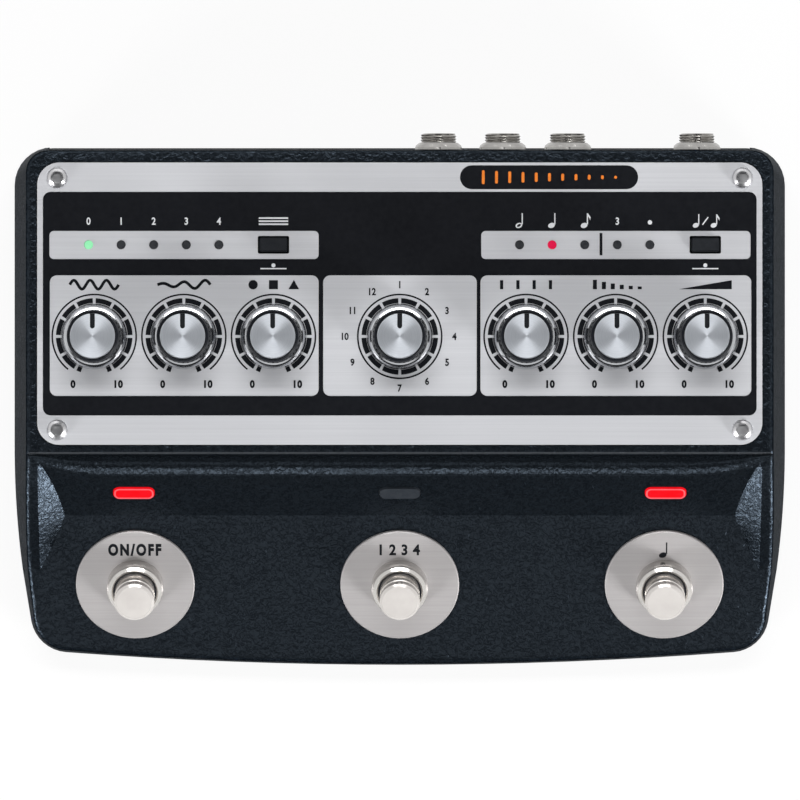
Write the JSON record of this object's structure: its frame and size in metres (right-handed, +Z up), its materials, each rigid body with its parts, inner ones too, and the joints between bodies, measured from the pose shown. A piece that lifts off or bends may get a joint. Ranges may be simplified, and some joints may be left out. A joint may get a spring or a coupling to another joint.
{
  "type": "delay effect unit",
  "caption": "Wide desktop delay effect unit with a dark cast case, a brushed control panel with knobs and lights, and foot switches on a sloping front deck.",
  "frame": {"origin": "on the floor under the middle of the outside box", "axes": "+X to the right for the player, +Y from the player to the sockets at the rear, +Z up"},
  "size_m": [0.192, 0.132, 0.052],
  "materials": {
    "case_paint": "textured satin paint",
    "cover_paint": "matt paint on sheet steel",
    "rubber": "matt",
    "screw_steel": "satin",
    "panel_metal": "brushed along the width, printed",
    "skirt_plate": "plated",
    "grip_plastic": "matt, fluted",
    "cap_metal": "spun",
    "shaft_metal": "turned",
    "plunger_plate": "plated",
    "disc_metal": "satin",
    "collar_plate": "plated",
    "switch_plastic": "moulded",
    "key_plastic": "satin",
    "light_green": "lit",
    "light_red": "lit",
    "light_dark": "unlit",
    "lamp_red": "lit",
    "lamp_dark": "unlit",
    "socket_metal": "nickel plated",
    "socket_plastic": "moulded",
    "board": "solder resist",
    "chip_plastic": "moulded",
    "ribbon": "satin"
  },
  "bodies": {
    "chassis": {"upper_case": "case_paint", "rear_panel": "case_paint", "bottom_cover": "cover_paint", "rubber_feet": "rubber", "cover_screws": "screw_steel", "panel_screws": "screw_steel", "board_screws": "screw_steel", "front_panel": "panel_metal", "foot_discs": "disc_metal", "foot_collars": "collar_plate", "foot_switches": "switch_plastic", "key_switches": "switch_plastic", "control_bodies": "switch_plastic", "green_light": "light_green", "red_light": "light_red", "dark_lights": "light_dark", "red_lamps": "lamp_red", "dark_lamp": "lamp_dark", "socket_bushes": "socket_metal", "socket_nuts": "socket_metal", "socket_housings": "socket_plastic", "mini_sockets": "socket_plastic", "power_inlet": "socket_plastic", "panel_board": "board", "main_board": "board", "board_chips": "chip_plastic", "ribbon_cable": "ribbon"},
    "rate_knob": {"rate_knob_skirt": "skirt_plate", "rate_knob_grip": "grip_plastic", "rate_knob_cap": "cap_metal", "rate_knob_shaft": "shaft_metal"},
    "depth_knob": {"depth_knob_skirt": "skirt_plate", "depth_knob_grip": "grip_plastic", "depth_knob_cap": "cap_metal", "depth_knob_shaft": "shaft_metal"},
    "variation_knob": {"variation_knob_skirt": "skirt_plate", "variation_knob_grip": "grip_plastic", "variation_knob_cap": "cap_metal", "variation_knob_shaft": "shaft_metal"},
    "mode_knob": {"mode_knob_skirt": "skirt_plate", "mode_knob_grip": "grip_plastic", "mode_knob_cap": "cap_metal", "mode_knob_shaft": "shaft_metal"},
    "time_knob": {"time_knob_skirt": "skirt_plate", "time_knob_grip": "grip_plastic", "time_knob_cap": "cap_metal", "time_knob_shaft": "shaft_metal"},
    "feedback_knob": {"feedback_knob_skirt": "skirt_plate", "feedback_knob_grip": "grip_plastic", "feedback_knob_cap": "cap_metal", "feedback_knob_shaft": "shaft_metal"},
    "level_knob": {"level_knob_skirt": "skirt_plate", "level_knob_grip": "grip_plastic", "level_knob_cap": "cap_metal", "level_knob_shaft": "shaft_metal"},
    "left_foot_plunger": {"left_plunger": "plunger_plate"},
    "centre_foot_plunger": {"centre_plunger": "plunger_plate"},
    "right_foot_plunger": {"right_plunger": "plunger_plate"},
    "memory_button": {"memory_key": "key_plastic"},
    "division_button": {"division_key": "key_plastic"}
  },
  "joints": [
    {"name": "rate_turn", "type": "hinge", "parent": "chassis", "child": "rate_knob", "pos_m": [-0.075, 0.0156, 0.0384], "axis": [0, 0, -1], "range_deg": [-150, 150]},
    {"name": "depth_turn", "type": "hinge", "parent": "chassis", "child": "depth_knob", "pos_m": [-0.053, 0.0156, 0.0384], "axis": [0, 0, -1], "range_deg": [-150, 150]},
    {"name": "variation_turn", "type": "hinge", "parent": "chassis", "child": "variation_knob", "pos_m": [-0.031, 0.0156, 0.0384], "axis": [0, 0, -1], "range_deg": [-150, 150]},
    {"name": "mode_turn", "type": "hinge", "parent": "chassis", "child": "mode_knob", "pos_m": [0, 0.0156, 0.0384], "axis": [0, 0, -1], "continuous": true},
    {"name": "time_turn", "type": "hinge", "parent": "chassis", "child": "time_knob", "pos_m": [0.031, 0.0156, 0.0384], "axis": [0, 0, -1], "range_deg": [-150, 150]},
    {"name": "feedback_turn", "type": "hinge", "parent": "chassis", "child": "feedback_knob", "pos_m": [0.053, 0.0156, 0.0384], "axis": [0, 0, -1], "range_deg": [-150, 150]},
    {"name": "level_turn", "type": "hinge", "parent": "chassis", "child": "level_knob", "pos_m": [0.075, 0.0156, 0.0384], "axis": [0, 0, -1], "range_deg": [-150, 150]},
    {"name": "memory_press", "type": "slide", "parent": "chassis", "child": "memory_button", "axis": [0, 0, -1], "range_m": [0, 0.0004], "stiffness_N_per_m": 1500, "springref_m": -0.0005},
    {"name": "division_press", "type": "slide", "parent": "chassis", "child": "division_button", "axis": [0, 0, -1], "range_m": [0, 0.0004], "stiffness_N_per_m": 1500, "springref_m": -0.0005},
    {"name": "left_step", "type": "slide", "parent": "chassis", "child": "left_foot_plunger", "axis": [0, 0.4147, -0.91], "range_m": [0, 0.002], "stiffness_N_per_m": 2500, "springref_m": -0.002},
    {"name": "centre_step", "type": "slide", "parent": "chassis", "child": "centre_foot_plunger", "axis": [0, 0.4147, -0.91], "range_m": [0, 0.002], "stiffness_N_per_m": 2500, "springref_m": -0.002},
    {"name": "right_step", "type": "slide", "parent": "chassis", "child": "right_foot_plunger", "axis": [0, 0.4147, -0.91], "range_m": [0, 0.002], "stiffness_N_per_m": 2500, "springref_m": -0.002}
  ]
}
